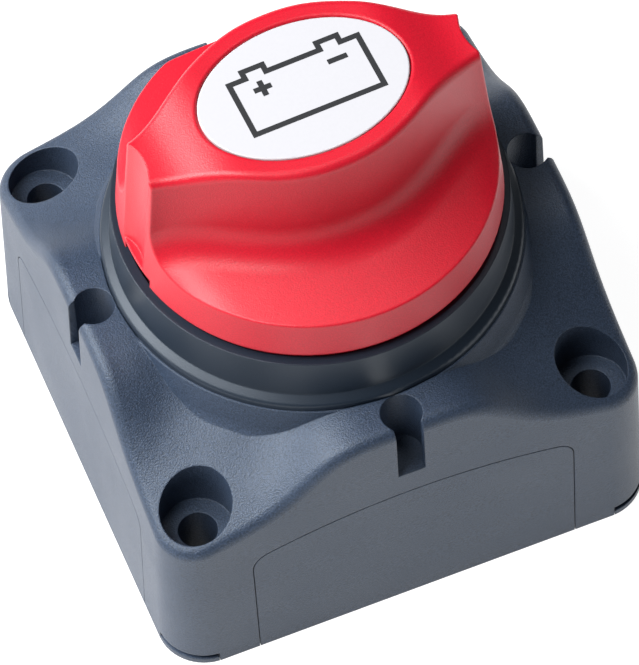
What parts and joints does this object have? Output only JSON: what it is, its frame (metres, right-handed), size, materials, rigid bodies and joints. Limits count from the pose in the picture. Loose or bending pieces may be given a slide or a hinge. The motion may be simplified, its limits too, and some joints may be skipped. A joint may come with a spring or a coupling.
{
  "type": "battery switch",
  "caption": "Square surface-mounted battery isolator switch with a domed roof, recessed corner screw holes and a round knob whose grip turns a quarter turn between off and on.",
  "frame": {"origin": "centre of the rear mounting face", "axes": "+Z along the knob's axis, out of the mounting surface; the knob's grip lies along X, turned 2.5 degrees past it, when off and along Y when on; -Y is the wall that faces the viewer"},
  "size_m": [0.069, 0.069, 0.0722],
  "materials": {
    "housing_plastic": "fine spark-eroded texture",
    "ring_plastic": "smooth satin",
    "knob_plastic": "satin, fine moulded grain",
    "label_film": "gloss, with a dark printed pictogram",
    "deck_plastic": "glass-filled, satin",
    "rotor_plastic": "satin",
    "tinned_copper": "tin plated, satin",
    "copper": "bright",
    "contact_silver": "silver alloy",
    "stainless": "bright",
    "spring_steel": "bright",
    "seal_rubber": "matt black"
  },
  "bodies": {
    "case_body": {"housing": "housing_plastic", "rear_cover": "housing_plastic", "side_panel_front": "housing_plastic", "side_panel_right": "housing_plastic", "side_panel_back": "housing_plastic", "side_panel_left": "housing_plastic", "bezel_ring": "ring_plastic", "contact_deck": "deck_plastic", "deck_gasket": "seal_rubber", "deck_screws": "stainless", "stud_supply": "tinned_copper", "stud_load": "tinned_copper", "stud_contacts": "contact_silver", "stud_washers": "stainless", "lock_washers": "spring_steel", "stud_nuts": "stainless"},
    "knob_body": {"knob": "knob_plastic", "knob_label": "label_film", "knob_screw": "stainless", "drive_shaft": "stainless", "shaft_clip": "spring_steel", "thrust_washer": "stainless", "shaft_seal": "seal_rubber", "rotor": "rotor_plastic", "wave_washer": "spring_steel", "contact_springs": "spring_steel"},
    "contact_body": {"contact_bar": "copper", "contact_tips": "contact_silver"}
  },
  "joints": [
    {"name": "knob_turn", "type": "hinge", "parent": "case_body", "child": "knob_body", "pos_m": [0, 0, 0.0402], "axis": [0, 0, -1], "range_deg": [0, 92.5]},
    {"name": "contact_float", "type": "slide", "parent": "knob_body", "child": "contact_body", "axis": [0, 0, 1], "range_m": [0, 0.0006], "stiffness_N_per_m": 6000, "springref_m": -0.003, "deforming": ["contact_springs"]}
  ]
}
